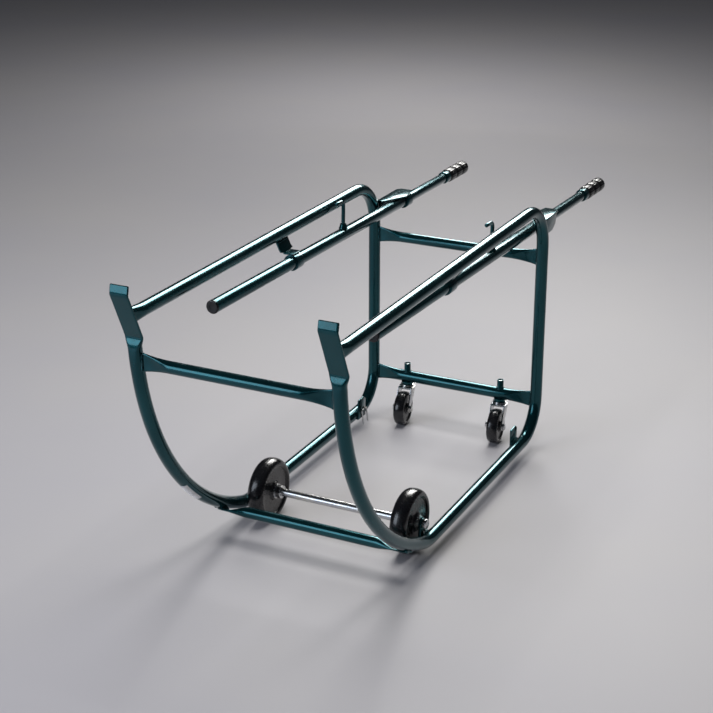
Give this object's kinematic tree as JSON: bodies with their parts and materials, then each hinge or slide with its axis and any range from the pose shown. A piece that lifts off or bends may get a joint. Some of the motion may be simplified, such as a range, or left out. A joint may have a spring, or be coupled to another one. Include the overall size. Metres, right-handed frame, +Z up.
{
  "type": "drum dolly",
  "caption": "Cradle dolly with two bent-tube side frames, flattened lifting blades, front wheels, swivel casters and telescoping handles for a drum.",
  "frame": {"origin": "on the floor, midway between the two side frames and midway along the overall length from blade to grip", "axes": "+X across the dolly, towards its right side as seen by someone facing the blades end from behind the grips; +Y from the blades towards the grips; +Z up"},
  "size_m": [0.4264, 1.4212, 0.6101],
  "materials": {
    "green_enamel": "glossy dark teal-green enamel, thin orange-peel, light scuffs at the bends",
    "zinc_steel": "bright zinc-plated steel",
    "wheel_rubber": "glossy black moulded rubber, solid wheel",
    "black_vinyl": "semi-gloss black vinyl",
    "bushing_plastic": "grey nylon bushing",
    "label_film": "white vinyl film, blank"
  },
  "bodies": {
    "frame": {"axle_caps": "zinc_steel", "axle_collars": "zinc_steel", "axle_washers": "zinc_steel", "front_axle": "zinc_steel", "front_lower_crossbar": "green_enamel", "front_upper_crossbar": "green_enamel", "hoop_label": "label_film", "left_axle_lug": "green_enamel", "left_caster_race": "zinc_steel", "left_caster_socket": "green_enamel", "left_caster_stem": "zinc_steel", "left_front_collar": "green_enamel", "left_guide_gusset": "green_enamel", "left_guide_plug": "black_vinyl", "left_guide_strap": "green_enamel", "left_guide_tube": "green_enamel", "left_lock_boss": "green_enamel", "left_rail_lug": "green_enamel", "left_rail_staple": "zinc_steel", "left_rear_collar": "green_enamel", "left_side_frame": "green_enamel", "rear_lower_crossbar": "green_enamel", "rear_upper_crossbar": "green_enamel", "right_axle_lug": "green_enamel", "right_caster_race": "zinc_steel", "right_caster_socket": "green_enamel", "right_caster_stem": "zinc_steel", "right_front_collar": "green_enamel", "right_guide_gusset": "green_enamel", "right_guide_plug": "black_vinyl", "right_guide_strap": "green_enamel", "right_guide_tube": "green_enamel", "right_lock_boss": "green_enamel", "right_rail_lug": "green_enamel", "right_rail_staple": "zinc_steel", "right_rear_collar": "green_enamel", "right_side_frame": "green_enamel"},
    "left_front_wheel": {"left_front_wheel": "wheel_rubber", "left_wheel_bushing": "bushing_plastic"},
    "left_caster": {"left_caster_fork": "zinc_steel", "left_caster_bolt": "zinc_steel", "left_caster_nut": "zinc_steel"},
    "left_caster_wheel": {"left_caster_wheel": "wheel_rubber", "left_caster_bushing": "bushing_plastic"},
    "left_handle": {"left_handle_tube": "green_enamel", "left_stop_collar": "green_enamel", "left_grip": "black_vinyl"},
    "left_lock": {"left_lock_screw": "green_enamel"},
    "right_front_wheel": {"right_front_wheel": "wheel_rubber", "right_wheel_bushing": "bushing_plastic"},
    "right_caster": {"right_caster_fork": "zinc_steel", "right_caster_bolt": "zinc_steel", "right_caster_nut": "zinc_steel"},
    "right_caster_wheel": {"right_caster_wheel": "wheel_rubber", "right_caster_bushing": "bushing_plastic"},
    "right_handle": {"right_handle_tube": "green_enamel", "right_stop_collar": "green_enamel", "right_grip": "black_vinyl"},
    "right_lock": {"right_lock_screw": "green_enamel"}
  },
  "joints": [
    {"name": "left_wheel_spin", "type": "hinge", "parent": "frame", "child": "left_front_wheel", "pos_m": [-0.1529, -0.29595, 0.0635], "axis": [1, 0, 0], "continuous": true},
    {"name": "left_caster_swivel", "type": "hinge", "parent": "frame", "child": "left_caster", "pos_m": [-0.1115, 0.27005, 0.0794], "axis": [0, 0, 1], "continuous": true},
    {"name": "left_caster_wheel_spin", "type": "hinge", "parent": "left_caster", "child": "left_caster_wheel", "pos_m": [-0.10845, 0.24101, 0.0381], "axis": [0.9945, 0.1045, 0], "continuous": true},
    {"name": "left_handle_slide", "type": "slide", "parent": "frame", "child": "left_handle", "axis": [-0.0098, 0.9997, -0.0224], "range_m": [-0.19, 0.24]},
    {"name": "left_lock_turn", "type": "hinge", "parent": "frame", "child": "left_lock", "pos_m": [-0.1641, 0.05589, 0.49008], "axis": [0, 0.0224, 0.9997], "range_deg": [-15, 180]},
    {"name": "right_wheel_spin", "type": "hinge", "parent": "frame", "child": "right_front_wheel", "pos_m": [0.1529, -0.29595, 0.0635], "axis": [1, 0, 0], "continuous": true},
    {"name": "right_caster_swivel", "type": "hinge", "parent": "frame", "child": "right_caster", "pos_m": [0.1115, 0.27005, 0.0794], "axis": [0, 0, 1], "continuous": true},
    {"name": "right_caster_wheel_spin", "type": "hinge", "parent": "right_caster", "child": "right_caster_wheel", "pos_m": [0.11455, 0.24101, 0.0381], "axis": [0.9945, 0.1045, 0], "continuous": true},
    {"name": "right_handle_slide", "type": "slide", "parent": "frame", "child": "right_handle", "axis": [0.0098, 0.9997, -0.0224], "range_m": [-0.19, 0.24]},
    {"name": "right_lock_turn", "type": "hinge", "parent": "frame", "child": "right_lock", "pos_m": [0.1641, 0.05589, 0.49008], "axis": [0, -0.0224, -0.9997], "range_deg": [-15, 180]}
  ]
}
